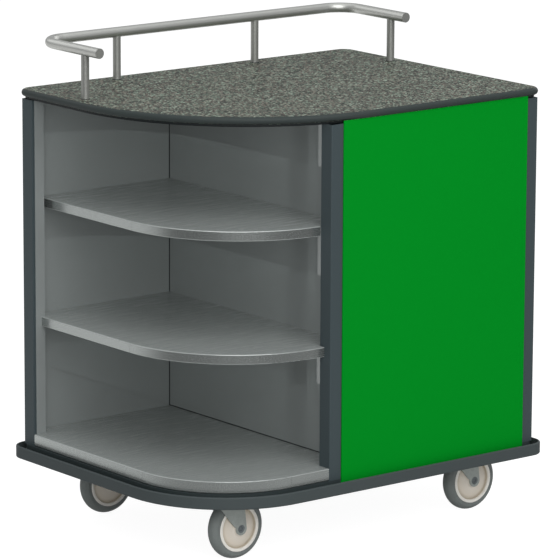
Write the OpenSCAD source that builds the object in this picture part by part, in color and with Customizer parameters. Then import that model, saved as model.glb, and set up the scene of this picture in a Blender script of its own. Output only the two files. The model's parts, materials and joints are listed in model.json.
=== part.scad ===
// Beverage cart: a steel cabinet on four swivel casters, with a rounded open corner of three
// shelves at the front left, a green front panel, a speckled top and a tube rail round the back.
// The origin is on the floor at the middle of the bumper's outline. X runs to the right along
// the front, Y runs from the front to the back and Z is up. Sizes are in millimetres.

/* [Cabinet] */
// Width over the corner posts
cab_w = 914; // [880:1:1000]
// Depth over the corner posts
cab_d = 669; // [640:1:760]
// Length of the posts, from the base pan to the top frame
post_h = 778; // [720:1:860]
// Sheet of the back panel and of the partition
sheet_t = 1.2; // [0.8:0.1:2]

/* [Posts] */
// Wall of a post's tube
post_wall = 2; // [1.5:0.5:3]
// Outer radius of a post's corners
post_r = 2; // [1:0.5:4]
// Width of a post along the front or the back
post_w = 38; // [34:1:44]
// Depth of a post
post_d = 36; // [30:1:42]
// Width of the back left post
slim_post_w = 30; // [26:1:36]
// Depth of the back left post
slim_post_d = 37.5; // [34:0.5:46]
// Sheet of the liner on the back left post
liner_t = 1; // [0.8:0.1:1.5]
// Strip of the back left post that its liner leaves bare
liner_reveal = 6.5; // [4:0.5:10]

/* [Open corner] */
// Distance from the left side to the partition
bay_w = 403; // [390:1:440]
// Distance from the left side to the front middle post
middle_post_x = 331; // [320:1:336]
// Overlap of the partition's flange on the back of the middle post
flange_lap = 24; // [12:1:30]
// Sheet of the shelves and of the deck
shelf_t = 1.5; // [1:0.1:2]
// Height of a shelf's folded edge
shelf_lip = 22; // [16:1:28]
// Width of the return under a folded edge
lip_return = 10; // [8:1:16]
// Radius of the fold at the top of an edge
fold_r = 2; // [1.6:0.1:3]
// Radius of the rolled fold under the deck's edge
roll_r = 6; // [3:0.5:9]
// Width of the seams at the ends of an edge's round corner
seam_w = 0.8; // [0.4:0.1:1.2]
// Depth of those seams
seam_depth = 0.5; // [0.2:0.1:0.8]
// Height of the deck
deck_h = 27; // [22:1:34]
// Radius of the deck's round corner
deck_r = 228; // [200:1:231]
// Setback of the deck behind the front
deck_setback = 1.5; // [0:0.5:4]
// Height of the lower shelf's top over the deck
lower_rise = 265.5; // [220:0.5:280]
// Setback of the lower shelf from the left side
lower_setback_x = 22; // [16:1:28]
// Setback of the lower shelf from the front
lower_setback_y = 20.5; // [14:0.5:28]
// Radius of the lower shelf's round corner
lower_r = 283; // [250:1:300]
// Height of the upper shelf's top over the deck
upper_rise = 527.5; // [490:0.5:560]
// Setback of the upper shelf from the left side
upper_setback_x = 43; // [36:1:60]

/* [Panels and rear bay] */
// Thickness of the front panel and of the right panel
panel_t = 3; // [2:0.5:4]
// Lap of a panel on the front right or back right post
panel_lap = 7; // [4:1:12]
// Lap of the front panel on the front middle post
panel_lap_middle = 6.5; // [4:0.5:14]
// Depth that the front panel reaches down behind the bumper's lip
panel_drop = 9.5; // [6:0.5:10]
// Height of the rear bay's shelf over its floor
rear_rise = 380; // [300:5:440]
// Setback of the rear bay's shelf from the back
rear_setback = 14; // [0:1:30]

/* [Top] */
// Thickness of the speckled board
board_t = 16; // [14:1:22]
// Overhang of the board over the posts
board_over = 2.9; // [2.5:0.1:8]
// Radius of the board's large front left corner
board_r = 438.5; // [420:0.5:450]
// Radius of the board's small corners
board_small_r = 24; // [16:1:30]
// Projection of the round moulded edge outside the board
nose_t = 6; // [4:0.5:8]
// Depth of the edge's barb in the board
barb_depth = 8.5; // [6:0.5:12]
// Thickness of the barb
barb_t = 2; // [1.5:0.1:3]
// Thickness of the top frame's rim
rim_t = 4; // [3:0.5:6]
// Width of the top frame's rim
rim_w = 36; // [34:1:50]
// Radius of the top frame's front left corner
frame_r = 431.6; // [400:0.2:440]
// Radius of the top frame's small corners
frame_small_r = 20; // [8:1:24]
// Sheet of the top frame's ceiling
ceiling_t = 2.5; // [1.5:0.5:4]
// Setback of the ceiling's edge under the rim
ceiling_setback = 4; // [2:0.5:8]

/* [Rail] */
// Outer diameter of the rail's tube
rail_d = 22.8; // [19:0.1:26]
// Wall of the rail's tube
rail_wall = 1.5; // [1:0.1:2.5]
// Height of the rail's axis over the top
rail_rise = 105.5; // [80:0.1:140]
// Distance of the side runs' axes from the sides
rail_inset_x = 28.9; // [22:0.1:32]
// Distance of the back run's axis from the back
rail_inset_y = 29.5; // [26:0.1:33]
// Bend radius at the axis
rail_bend_r = 57; // [40:0.5:70]
// Length of the side runs from the back run's axis
rail_return = 221.3; // [190:0.1:280]
// Diameter of a rail post
rail_post_d = 17.8; // [15:0.1:20]
// Distance of the side posts from the back run's axis
rail_side_post = 167.8; // [120:0.1:180]
// Distance of the back left rail post from the left side
rail_left_post_x = 236.4; // [180:0.2:300]
// Distance of the back right rail post from the left side
rail_right_post_x = 623.6; // [560:0.2:700]
// Thickness of a plug's flange
plug_flange = 1.5; // [1:0.1:3]
// Length of a plug's stem in the tube
plug_stem = 12; // [8:1:20]
// Depth of the recess in the board that a rail post stands in
rail_post_sink = 2; // [1:0.5:4]
// Diameter of the rail posts' screws
rail_screw_d = 6; // [5:1:8]

/* [Base] */
// Plate of the base pan
base_t = 3; // [2:0.5:4]
// Depth of the base pan's skirt under its plate
skirt_h = 24.5; // [20:0.5:27]
// Reach of the base pan beyond the left and right sides
base_over = 3.5; // [3:0.5:6]
// Radius of the base pan's front left corner
base_r = 230.5; // [200:0.5:234]
// Radius of the base pan's small corners
base_small_r = 17; // [12:1:24]
// Drop of the bumper's underside below the base pan's top
bumper_drop = 28.8; // [28:0.2:31]
// Projection of the bumper beyond the base pan
bumper_w = 23; // [19:0.5:30]
// Height of the bumper's outer face
bumper_h = 27; // [24:0.5:27]
// Thickness of the bumper's lip
bumper_lip = 4.5; // [3:0.5:6]
// Thickness of the bumper's web
bumper_web = 5; // [3:0.5:7]
// Radius of the bumper's top and bottom outer edges
bumper_edge_r = 3; // [1:0.5:4]
// Thickness of the bumper's inner leg
bumper_leg = 2.5; // [1.5:0.5:4]
// Height of the bumper's inner leg
bumper_leg_h = 17; // [10:0.5:17]

/* [Casters] */
// Height of a caster, from the floor to its mounting face
caster_h = 159.1; // [157:0.1:166]
// Distance of the swivel axes from the sides
caster_inset_x = 125.8; // [125:0.1:150]
// Distance of the swivel axes from the front and the back
caster_inset_y = 100.3; // [99.3:0.1:130]
// Offset of the axle from the swivel axis
trail = 25.6; // [22:0.1:28]
// Diameter of the wheel
wheel_d = 137.6; // [132:0.2:139]
// Width of the tyre
tyre_w = 31.6; // [28:0.1:33]
// Radius at which the tyre sits on the hub
seat_r = 51.8; // [49:0.1:54]
// Radius of the round section of the tread
tread_r = 18; // [17:0.5:30]
// Width of the hub's bright rim, from its inner edge to the tyre
rim_ring = 6.5; // [5:0.5:8]
// Width of the hub across its rim
hub_rim_w = 34.6; // [30:0.2:35]
// Thickness of the hub's web at the rim
web_rim_t = 21; // [16:0.5:26]
// Thickness of the hub's web at the boss
web_boss_t = 32; // [27:0.5:34]
// Radius of the hub's boss
boss_r = 13; // [11:0.5:15]
// Diameter of the axle
axle_d = 12; // [10:0.5:14]
// Metal of the fork
fork_t = 3; // [2.5:0.5:3.5]
// Distance from the wheel's middle to the inside of a fork leg's pad
pad_in = 20.5; // [20:0.5:22]
// Step of a fork leg between its pad and its rear part
pad_step = 2.7; // [1.5:0.1:3]
// Radius of the fork leg's round end
leg_r = 14; // [13:0.5:15]
// Distance of the leg's rear edge behind the axle, at the axle's height
leg_back = 11.6; // [9:0.1:12.5]
// Width of the leg's step
step_w = 8; // [6:0.5:10]
// Distance of the step from the axle
step_x = 15; // [14:0.5:16]
// Diameter of the kingpin
kingpin_d = 12; // [10:0.5:14]
// Thickness of the mounting plate
plate_t = 4; // [3:0.5:5]
// Length of the mounting plate
plate_l = 105; // [98:1:106]
// Width of the mounting plate
plate_w = 80; // [72:1:81]
// Radius of the mounting plate's corners
plate_r = 8; // [4:1:12]
// Distance between the bolts along the plate
bolt_l = 76; // [74:1:80]
// Distance between the bolts across the plate
bolt_w = 52; // [50:1:54]
// Diameter of the mounting bolts
bolt_d = 8; // [6:1:10]
// Radius of the swivel head's cup
cup_r = 32.5; // [31:0.5:34]
// Height of the cup under the plate
cup_h = 9; // [8:0.5:9.5]
// Wall of the cup
cup_wall = 1.5; // [1:0.5:2]
// Radius of the bearing balls
ball_r = 3.2; // [2.5:0.1:3.4]
// Radius of the ring of balls
race_r = 22; // [18:0.5:23]
// Number of balls
ball_count = 16; // [10:1:18]

/* [Fits] */
// Radial clearance of a shaft that turns in its hole
running_fit = 0.05; // [0.02:0.01:0.1]
// Radial clearance of a stem that is pressed or glued in
press_gap = 0.03; // [0.02:0.01:0.05]
// Clearance between bearing balls and the race that they roll on
ball_gap = 0.3; // [0.2:0.05:0.4]
// End clearance of a part that turns between two faces
end_gap = 0.4; // [0.3:0.05:0.6]
// Radial clearance of a bolt in its hole
bolt_gap = 0.3; // [0.1:0.1:0.6]

/* [Hidden] */
$fn = 96;
e = 1;
xl = -cab_w / 2;
xr = cab_w / 2;
yf = -cab_d / 2;
yb = cab_d / 2;

z_pan = caster_h;
z_base = z_pan + base_t;
z_skirt = z_pan - skirt_h;
z_bumper = z_base - bumper_drop;
z_deck = z_base + deck_h;
z_ceiling = z_base + post_h;
z_rim = z_ceiling + ceiling_t;
z_board = z_rim + rim_t;
z_top = z_board + board_t;
z_seat = z_top - rail_post_sink;
z_rail = z_top + rail_rise;

bay_x = xl + bay_w;
wall_y = yb - sheet_t;
mid_x = xl + middle_post_x;
rear_x = bay_x + sheet_t;
bay_q = [bay_x, wall_y];
slim_w = slim_post_w + liner_t;
slim_d = slim_post_d + liner_t;

base_p = [xl - base_over, yf];
base_q = [xr + base_over, yb];
board_p = [xl - board_over, yf - board_over];
board_q = [xr + board_over, yb + board_over];

rail_r = rail_d / 2;
bore_r = rail_r - rail_wall;
rail_x = cab_w / 2 - rail_inset_x;
rail_y = yb - rail_inset_y;
rail_end = rail_y - rail_return;
side_post_y = rail_y - rail_side_post;
screw_r = rail_screw_d / 2;
screw_reach = 20;
screw_head_h = 4;
rail_post_places = [
    [-rail_x, side_post_y],
    [xl + rail_left_post_x, rail_y],
    [xl + rail_right_post_x, rail_y],
    [rail_x, side_post_y]
];

wheel_r = wheel_d / 2;
axle_r = axle_d / 2;
king_r = kingpin_d / 2;
z_plate = caster_h - plate_t;
z_cup = z_plate - cup_h;
crown_top = z_cup - 2;
crown_low = crown_top - fork_t;
cap_top = z_plate - cup_h / 2 - 1.3;
cap_r = cup_r - cup_wall - 1;
z_ball = cap_top + end_gap / 2;
pad_out = pad_in + fork_t;
boss_half = pad_in - end_gap;
king_collar_h = 3;
king_collar_r = 9;
leg_lean = 0.82;
crown_back = -cup_r - 3.5;
crown_front = trail + leg_r / 2 - 1;
rim_in = seat_r - rim_ring;
web_start = boss_r + 4;
bolt_r = bolt_d / 2;
bolt_head_h = 5.3;
bolt_head_r = bolt_d * 0.92;
nut_h = 6.5;
rivet_sink = fork_t - 1;
rivet_flare = 3.5;
caster_places = [
    [xl + caster_inset_x, yf + caster_inset_y],
    [xr - caster_inset_x, yf + caster_inset_y],
    [xl + caster_inset_x, yb - caster_inset_y],
    [xr - caster_inset_x, yb - caster_inset_y]
];

steel = "#9a9f9d";
stainless = "#8f9492";
dark = "#43494a";
near_black = "#2c3232";
green = "#00871f";
zinc = "#7d8380";
cream = "#c6c0b2";

// Outlines and sweeps

// What a round corner takes away from a square one, for a corner at the origin
module corner_waste(r) {
    if (r > 0)
        difference() {
            translate([-e, -e]) square(r + e);
            translate([r, r]) circle(r);
        }
}

// The rectangle from p to q, with radii for its front left, front right, back right and back left
module plan(p, q, r) {
    difference() {
        translate(p) square(q - p);
        translate(p) corner_waste(r[0]);
        translate([q[0], p[1]]) rotate(90) corner_waste(r[1]);
        translate(q) rotate(180) corner_waste(r[2]);
        translate([p[0], q[1]]) rotate(270) corner_waste(r[3]);
    }
}

// One straight stretch of a swept section: the section's x points outwards and its y points up
module stretch(start, turn, length) {
    if (length > 0.01)
        translate([start[0], start[1], 0]) rotate(turn) mirror([0, 1, 0]) rotate([90, 0, 90])
            linear_extrude(length) children();
}

// One quarter turn of a swept section about a corner's centre
module bend(centre, turn, r) {
    translate([centre[0], centre[1], 0]) rotate(turn) rotate_extrude(angle = 90)
        translate([r, 0]) children();
}

// A section swept all the way round the rectangle from p to q
module sweep(p, q, r) {
    stretch([p[0] + r[0], p[1]], 0, q[0] - p[0] - r[0] - r[1]) children();
    bend([q[0] - r[1], p[1] + r[1]], -90, r[1]) children();
    stretch([q[0], p[1] + r[1]], 90, q[1] - p[1] - r[1] - r[2]) children();
    bend([q[0] - r[2], q[1] - r[2]], 0, r[2]) children();
    stretch([q[0] - r[2], q[1]], 180, q[0] - p[0] - r[2] - r[3]) children();
    bend([p[0] + r[3], q[1] - r[3]], 90, r[3]) children();
    stretch([p[0], q[1] - r[3]], 270, q[1] - p[1] - r[3] - r[0]) children();
    bend([p[0] + r[0], p[1] + r[0]], 180, r[0]) children();
}

// A section swept along the left side, the round front left corner and the front up to x_end
module corner_run(p, r, x_end, y_end) {
    stretch([p[0], y_end], 270, y_end - p[1] - r) children();
    bend([p[0] + r, p[1] + r], 180, r) children();
    stretch([p[0] + r, p[1]], 0, x_end - p[0] - r) children();
}

// Top

// Speckled board in three layers, the middle one set back as the slot for the edge's barb
module countertop() {
    radii = [board_r, board_small_r, board_small_r, board_small_r];
    slot = barb_depth + 0.5;
    slot_t = barb_t + 0.2;
    skin = (board_t - slot_t) / 2;
    color("#696e67") difference() {
        union() {
            for (z = [z_board, z_top - skin])
                translate([0, 0, z]) linear_extrude(skin) plan(board_p, board_q, radii);
            translate([0, 0, z_board]) linear_extrude(board_t)
                plan(board_p + [slot, slot], board_q - [slot, slot], [for (r = radii) r - slot]);
        }
        for (at = rail_post_places) {
            translate([at[0], at[1], z_board - e]) cylinder(r = screw_r + bolt_gap, h = board_t + 2 * e);
            translate([at[0], at[1], z_seat])
                cylinder(r = rail_post_d / 2 + press_gap, h = rail_post_sink + e);
        }
    }
}

// Section of the moulded edge: a round nose as high as the board, and a barb in its slot
module nose_section() {
    intersection() {
        square([nose_t, board_t]);
        translate([nose_t - board_t / 2, board_t / 2]) circle(board_t / 2);
    }
    translate([-barb_depth, (board_t - barb_t) / 2]) square([barb_depth + nose_t / 2, barb_t]);
}

module countertop_edge() {
    color(dark) translate([0, 0, z_board])
        sweep(board_p, board_q, [board_r, board_small_r, board_small_r, board_small_r]) nose_section();
}

// Steel frame under the board: a rim that shows as a dark line and a ceiling sheet under it
module top_frame() {
    inner = [rim_w, rim_w];
    step = [ceiling_setback, ceiling_setback];
    radii = [frame_r, frame_small_r, frame_small_r, frame_small_r];
    color(near_black) difference() {
        union() {
            translate([0, 0, z_rim]) linear_extrude(rim_t) difference() {
                plan([xl, yf], [xr, yb], radii);
                plan([xl, yf] + inner, [xr, yb] - inner, [for (r = radii) r - rim_w]);
            }
            translate([0, 0, z_ceiling]) linear_extrude(ceiling_t)
                plan([xl, yf] + step, [xr, yb] - step, [for (r = radii) r - ceiling_setback]);
        }
        for (at = rail_post_places)
            translate([at[0], at[1], z_ceiling - e])
                cylinder(r = screw_r + bolt_gap, h = ceiling_t + rim_t + 2 * e);
    }
}

// Rail

// The rail's route as a solid bar of radius r, its side runs ending at y_end
module rail_bar(r, y_end) {
    run_y = rail_y - rail_bend_r;
    run_x = rail_x - rail_bend_r;
    for (side = [-1, 1]) {
        translate([side * rail_x, y_end, z_rail]) rotate([-90, 0, 0]) cylinder(r = r, h = run_y - y_end);
        translate([side * run_x, run_y, z_rail]) rotate(side > 0 ? 0 : 90)
            rotate_extrude(angle = 90) translate([rail_bend_r, 0]) circle(r);
    }
    translate([-run_x, rail_y, z_rail]) rotate([0, 90, 0]) cylinder(r = r, h = 2 * run_x);
}

module rail_tube() {
    color(steel) difference() {
        rail_bar(rail_r, rail_end + plug_flange);
        rail_bar(bore_r, rail_end - e);
    }
}

// Flat plugs that close the tube's two ends
module rail_end_plugs() {
    color(steel) for (side = [-1, 1])
        translate([side * rail_x, rail_end, z_rail]) rotate([-90, 0, 0]) {
            cylinder(r = rail_r, h = plug_flange);
            cylinder(r = bore_r - press_gap, h = plug_flange + plug_stem);
        }
}

// A rail post let into the board, its top coped to sit round the tube, with a tapped hole in its foot
module rail_post(at, along_x) {
    color(steel) difference() {
        translate([at[0], at[1], z_seat]) cylinder(d = rail_post_d, h = z_rail - z_seat);
        translate([at[0], at[1], z_rail]) rotate(along_x ? [0, 90, 0] : [90, 0, 0])
            cylinder(r = rail_r + press_gap, h = 2 * rail_d, center = true);
        translate([at[0], at[1], z_seat - e]) cylinder(r = screw_r + press_gap, h = screw_reach + 2 * e);
    }
}

module rail_post_left() { rail_post(rail_post_places[0], false); }
module rail_post_back_left() { rail_post(rail_post_places[1], true); }
module rail_post_back_right() { rail_post(rail_post_places[2], true); }
module rail_post_right() { rail_post(rail_post_places[3], false); }

// Pan head screws that come up through the frame and the board into the rail posts
module rail_post_screws() {
    color(zinc) for (at = rail_post_places)
        translate([at[0], at[1], z_ceiling]) {
            translate([0, 0, -screw_head_h])
                cylinder(r1 = screw_r * 1.6, r2 = screw_r * 2.1, h = screw_head_h);
            cylinder(r = screw_r, h = z_seat - z_ceiling + screw_reach);
        }
}

// Posts and walls

// A square tube that stands on the base pan
module post(x, y, w, d) {
    wall = [post_wall, post_wall];
    inner_r = post_r - post_wall;
    color(dark) translate([x, y, z_base]) linear_extrude(post_h) difference() {
        plan([0, 0], [w, d], [post_r, post_r, post_r, post_r]);
        plan(wall, [w, d] - wall, [inner_r, inner_r, inner_r, inner_r]);
    }
}

module post_back_left() { post(xl, yb - slim_post_d, slim_post_w, slim_post_d); }
module post_front_middle() { post(mid_x, yf, post_w, post_d); }
module post_front_right() { post(xr - post_w, yf, post_w, post_d); }
module post_back_right() { post(xr - post_w, yb - post_d, post_w, post_d); }
module post_back_middle() { post(rear_x, yb - post_d, post_w, post_d); }

// Bright liner on the two inner faces of the back left post, standing on the deck
module jamb_liner() {
    color(stainless) translate([0, 0, z_deck]) linear_extrude(z_ceiling - z_deck) {
        translate([xl + liner_reveal, yb - slim_d]) square([slim_w - liner_reveal, liner_t]);
        translate([xl + slim_post_w, yb - slim_d]) square([liner_t, slim_d - sheet_t]);
    }
}

module back_panel() {
    color(stainless) translate([xl + slim_post_w, wall_y, z_deck])
        cube([rear_x - xl - slim_post_w, sheet_t, z_ceiling - z_deck]);
}

// Wall between the open corner and the rear bay, flanged onto the back of the middle post
module partition() {
    color(stainless) translate([0, 0, z_base]) linear_extrude(post_h) {
        translate([bay_x, yf + post_d]) square([sheet_t, wall_y - yf - post_d]);
        translate([mid_x + post_w - flange_lap, yf + post_d])
            square([rear_x - mid_x - post_w + flange_lap, sheet_t]);
    }
}

// Green sheet on the front, held proud of the posts and let down behind the bumper's lip
module front_panel() {
    left = mid_x + post_w - panel_lap_middle;
    right = xr - post_w + panel_lap;
    color(green) translate([0, 0, z_base - panel_drop]) linear_extrude(z_board - z_base + panel_drop)
        plan([left, yf - panel_t], [right, yf], [panel_t / 3, panel_t / 3, 0, 0]);
}

module right_panel() {
    front = yf + post_d - panel_lap;
    back = yb - post_d + panel_lap;
    color(green) translate([0, 0, z_base]) linear_extrude(z_board - z_base)
        plan([xr, front], [xr + panel_t, back], [0, panel_t / 3, panel_t / 3, 0]);
}

// Shelves of the open corner

// Section of a folded edge: the sheet's end, the face, the roll at its foot and the return
module folded_edge(h, foot_r) {
    difference() {
        translate([-lip_return, -h]) square([lip_return, h]);
        translate([-lip_return - e, -h + shelf_t])
            square([lip_return + e - shelf_t, h - 2 * shelf_t]);
        rotate(180) corner_waste(fold_r);
        translate([0, -h]) rotate(90) corner_waste(foot_r);
    }
    if (foot_r > shelf_t)
        translate([-foot_r, -h + foot_r]) intersection() {
            difference() {
                circle(foot_r);
                circle(foot_r - shelf_t);
            }
            translate([0, -foot_r]) square(foot_r);
        }
}

// Room that a shelf or the deck leaves for the two posts, the liner and the flange
module bay_notches(top, h) {
    translate([0, 0, top - h - e]) linear_extrude(h + 2 * e) {
        translate([xl - e, yb - slim_d]) square([slim_w + e, slim_d + e]);
        translate([mid_x, yf - e]) square([post_w, post_d + e]);
        translate([mid_x + post_w - flange_lap, yf - e])
            square([bay_x - mid_x, post_d + sheet_t + e]);
    }
}

// Seams where the round corner of an edge meets its straight stretches
module edge_seams(p, r, top, h) {
    reach = seam_depth + e;
    translate([p[0] - e, p[1] + r - seam_w / 2, top - h - e]) cube([reach, seam_w, h + 2 * e]);
    if (p[0] + r < mid_x - seam_w)
        translate([p[0] + r - seam_w / 2, p[1] - e, top - h - e]) cube([seam_w, reach, h + 2 * e]);
}

// A folded tray whose front left corner is round, with its outline's corner at p
module corner_tray(p, r, top, h, foot_r) {
    inset = [fold_r, fold_r];
    color(stainless) difference() {
        translate([0, 0, top]) {
            translate([0, 0, -shelf_t]) linear_extrude(shelf_t)
                plan(p + inset, bay_q, [r - fold_r, 0, 0, 0]);
            corner_run(p, r, mid_x, wall_y) folded_edge(h, foot_r);
            translate([mid_x, wall_y - shelf_t, -h]) cube([bay_x - mid_x, shelf_t, h]);
            translate([p[0] + lip_return, wall_y - shelf_t, -h])
                cube([bay_x - p[0] - lip_return, shelf_t, h]);
            translate([bay_x - shelf_t, yf + post_d, -h])
                cube([shelf_t, wall_y - yf - post_d, h]);
        }
        bay_notches(top, h);
        edge_seams(p, r, top, h);
    }
}

// The upper shelf's round corner runs from the left side straight into the middle post
module shelf_upper() {
    corner_tray([xl + upper_setback_x, yf + post_d], middle_post_x - upper_setback_x,
        z_deck + upper_rise, shelf_lip, fold_r);
}

module shelf_lower() {
    corner_tray([xl + lower_setback_x, yf + lower_setback_y], lower_r, z_deck + lower_rise,
        shelf_lip, fold_r);
}

module deck() {
    corner_tray([xl, yf + deck_setback], deck_r, z_deck, deck_h, roll_r);
}

// Rear bay

// A folded tray between the partition and the right panel, notched round the posts
module rear_tray(top, h, back) {
    color(stainless) difference() {
        translate([rear_x, yf, top - h]) cube([xr - rear_x, back - yf, h]);
        translate([rear_x + shelf_t, yf + shelf_t, top - h - e])
            cube([xr - rear_x - 2 * shelf_t, back - yf - 2 * shelf_t, h + e - shelf_t]);
        translate([0, 0, top - h - e]) linear_extrude(h + 2 * e) {
            translate([xr - post_w, yf - e]) square([post_w + e, post_d + e]);
            translate([xr - post_w, yb - post_d]) square([post_w + e, post_d + e]);
            translate([rear_x - e, yb - post_d]) square([post_w + e, post_d + e]);
            translate([rear_x - e, yf - e]) square([e, post_d + sheet_t + e]);
        }
    }
}

module rear_bay_floor() { rear_tray(z_deck, deck_h, yb); }
module rear_bay_shelf() { rear_tray(z_deck + rear_rise, shelf_lip, yb - rear_setback); }

// Base

// Plate under the whole cabinet, with a skirt round it and the holes of the casters' bolts
module base_pan() {
    radii = [base_r, base_small_r, base_small_r, base_small_r];
    wall = [base_t, base_t];
    color(near_black) difference() {
        translate([0, 0, z_skirt]) linear_extrude(skirt_h + base_t) plan(base_p, base_q, radii);
        translate([0, 0, z_skirt - e]) linear_extrude(skirt_h + e)
            plan(base_p + wall, base_q - wall, [for (r = radii) r - base_t]);
        for (i = [0:3])
            at_caster(i) at_bolts() translate([0, 0, z_pan - e])
                cylinder(r = bolt_r + bolt_gap, h = base_t + 2 * e);
    }
}

// Section of the bumper: a leg on the skirt, a web and a lip with a groove behind it
module bumper_section() {
    square([bumper_leg, bumper_leg_h]);
    difference() {
        square([bumper_w, bumper_web]);
        translate([bumper_w, 0]) rotate(90) corner_waste(bumper_edge_r);
    }
    difference() {
        translate([bumper_w - bumper_lip, 0]) square([bumper_lip, bumper_h]);
        translate([bumper_w, 0]) rotate(90) corner_waste(bumper_edge_r);
        translate([bumper_w, bumper_h]) rotate(180) corner_waste(bumper_edge_r);
    }
}

module bumper() {
    color(dark) translate([0, 0, z_bumper])
        sweep(base_p, base_q, [base_r, base_small_r, base_small_r, base_small_r]) bumper_section();
}

// Casters

// Puts its children at the place of one caster, on the floor under the swivel axis
module at_caster(i) {
    translate([caster_places[i][0], caster_places[i][1], 0]) children();
}

// The four bolt places of a mounting plate
module at_bolts() {
    for (x = [-bolt_l / 2, bolt_l / 2])
        for (y = [-bolt_w / 2, bolt_w / 2])
            translate([x, y, 0]) children();
}

// Hexagon nuts on the base pan, inside the hollow floors of the cabinet
module caster_nuts() {
    color(zinc) for (i = [0:3])
        at_caster(i) at_bolts() translate([0, 0, z_base]) difference() {
            cylinder(r = bolt_head_r, h = nut_h, $fn = 6);
            translate([0, 0, -e]) cylinder(r = bolt_r + press_gap, h = nut_h + 2 * e);
        }
}

// Hexagon bolts from below, through each mounting plate and the base pan into their nuts
module caster_bolts() {
    shank = z_base + nut_h + 1.5 - z_plate;
    color(zinc) for (i = [0:3])
        at_caster(i) at_bolts() {
            translate([0, 0, z_plate - bolt_head_h]) cylinder(r = bolt_head_r, h = bolt_head_h, $fn = 6);
            translate([0, 0, z_plate - e]) cylinder(r = bolt_r, h = shank + e);
        }
}

// The ring-shaped groove that the balls run in
module race(clearance) {
    translate([0, 0, z_ball]) rotate_extrude() translate([race_r, 0]) circle(ball_r + clearance);
}

// Mounting plate with the cup of the swivel head under it
module plate(i) {
    color(zinc) at_caster(i) difference() {
        union() {
            translate([0, 0, z_plate]) linear_extrude(plate_t)
                plan([-plate_l / 2, -plate_w / 2], [plate_l / 2, plate_w / 2],
                    [plate_r, plate_r, plate_r, plate_r]);
            translate([0, 0, z_cup]) cylinder(r = cup_r, h = cup_h + e);
        }
        translate([0, 0, z_cup - e]) cylinder(r = cup_r - cup_wall, h = cap_top + end_gap - z_cup + e);
        translate([0, 0, z_cup - e]) cylinder(r = king_r + press_gap, h = cup_h + plate_t + 2 * e);
        at_bolts() translate([0, 0, z_plate - e]) cylinder(r = bolt_r + bolt_gap, h = plate_t + 2 * e);
        race(ball_gap);
    }
}

// Pin that carries the fork, flush with the plate above and with a collar under the crown
module kingpin(i) {
    low = crown_low - end_gap - king_collar_h;
    color(zinc) at_caster(i) {
        translate([0, 0, low]) cylinder(r = king_r, h = caster_h - low);
        translate([0, 0, low]) cylinder(r1 = king_collar_r - 1, r2 = king_collar_r, h = king_collar_h);
    }
}

module balls(i) {
    color(steel) at_caster(i)
        for (k = [0:ball_count - 1])
            rotate(k * 360 / ball_count) translate([race_r, 0, z_ball]) sphere(ball_r);
}

// Side view of a fork leg: round at the axle, slanting back and then straight up to the crown
module leg_outline() {
    translate([trail, wheel_r]) circle(leg_r);
    polygon([
        [trail - leg_back, wheel_r],
        [trail + leg_r, wheel_r],
        [crown_front, crown_top],
        [crown_back, crown_top],
        [crown_back, wheel_r + (trail - leg_back - crown_back) / leg_lean]
    ]);
}

// Seen from above, the bent metal of one leg: pad, step and rear part
module leg_track() {
    far = cup_r + 10;
    pad_end = trail - step_x;
    rear_start = pad_end - step_w;
    rear_out = pad_out - pad_step;
    polygon([
        [trail + far, -pad_out], [pad_end, -pad_out], [rear_start, -rear_out], [-far, -rear_out],
        [-far, fork_t - rear_out], [rear_start + 0.6, fork_t - rear_out],
        [pad_end + 0.6, fork_t - pad_out], [trail + far, fork_t - pad_out]
    ]);
}

// Fork: cap of the swivel head, crown and two legs with dimpled axle holes
module fork(i) {
    color(zinc) at_caster(i) difference() {
        union() {
            translate([crown_back, -pad_in - e, crown_low])
                cube([crown_front - crown_back, 2 * pad_in + 2 * e, fork_t]);
            translate([0, 0, crown_low]) cylinder(r = cap_r, h = cap_top - crown_low);
            for (side = [0, 1]) mirror([0, side, 0]) intersection() {
                linear_extrude(crown_top) leg_track();
                rotate([90, 0, 0]) linear_extrude(4 * pad_out, center = true) leg_outline();
            }
        }
        translate([0, 0, crown_low - e])
            cylinder(r = king_r + running_fit, h = cap_top - crown_low + 2 * e);
        race(0.1);
        translate([trail, 0, wheel_r]) rotate([90, 0, 0]) {
            cylinder(r = axle_r + press_gap, h = 3 * pad_out, center = true);
            for (side = [0, 1]) mirror([0, 0, side]) translate([0, 0, pad_out - rivet_sink])
                cylinder(r1 = axle_r + press_gap, r2 = axle_r + rivet_flare, h = rivet_sink);
        }
    }
}

// Axle: a rivet whose two ends are flared into the dimples of the fork
module axle(i) {
    end = pad_out - 0.3;
    neck = pad_out - rivet_sink;
    tip_r = axle_r + rivet_flare * (end - neck) / rivet_sink - 0.1;
    lip_r = tip_r - 1;
    color(steel) at_caster(i) translate([trail, 0, wheel_r]) rotate([90, 0, 0])
        rotate_extrude() difference() {
            polygon([
                [0, -end], [tip_r, -end], [axle_r, -neck],
                [axle_r, neck], [tip_r, end], [0, end]
            ]);
            for (side = [-1, 1]) polygon([
                [0, side * (end + e)], [lip_r, side * (end + e)], [lip_r, side * end],
                [axle_r - 1, side * neck], [axle_r - 1.4, side * (neck - 2)], [0, side * (neck - 2)]
            ]);
        }
}

// Half the thickness of the hub's domed web at a radius
function web_half(r) =
    let (share = (r - web_start) / (rim_in - web_start))
    (web_boss_t + (web_rim_t - web_boss_t) * share * share) / 2;

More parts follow.
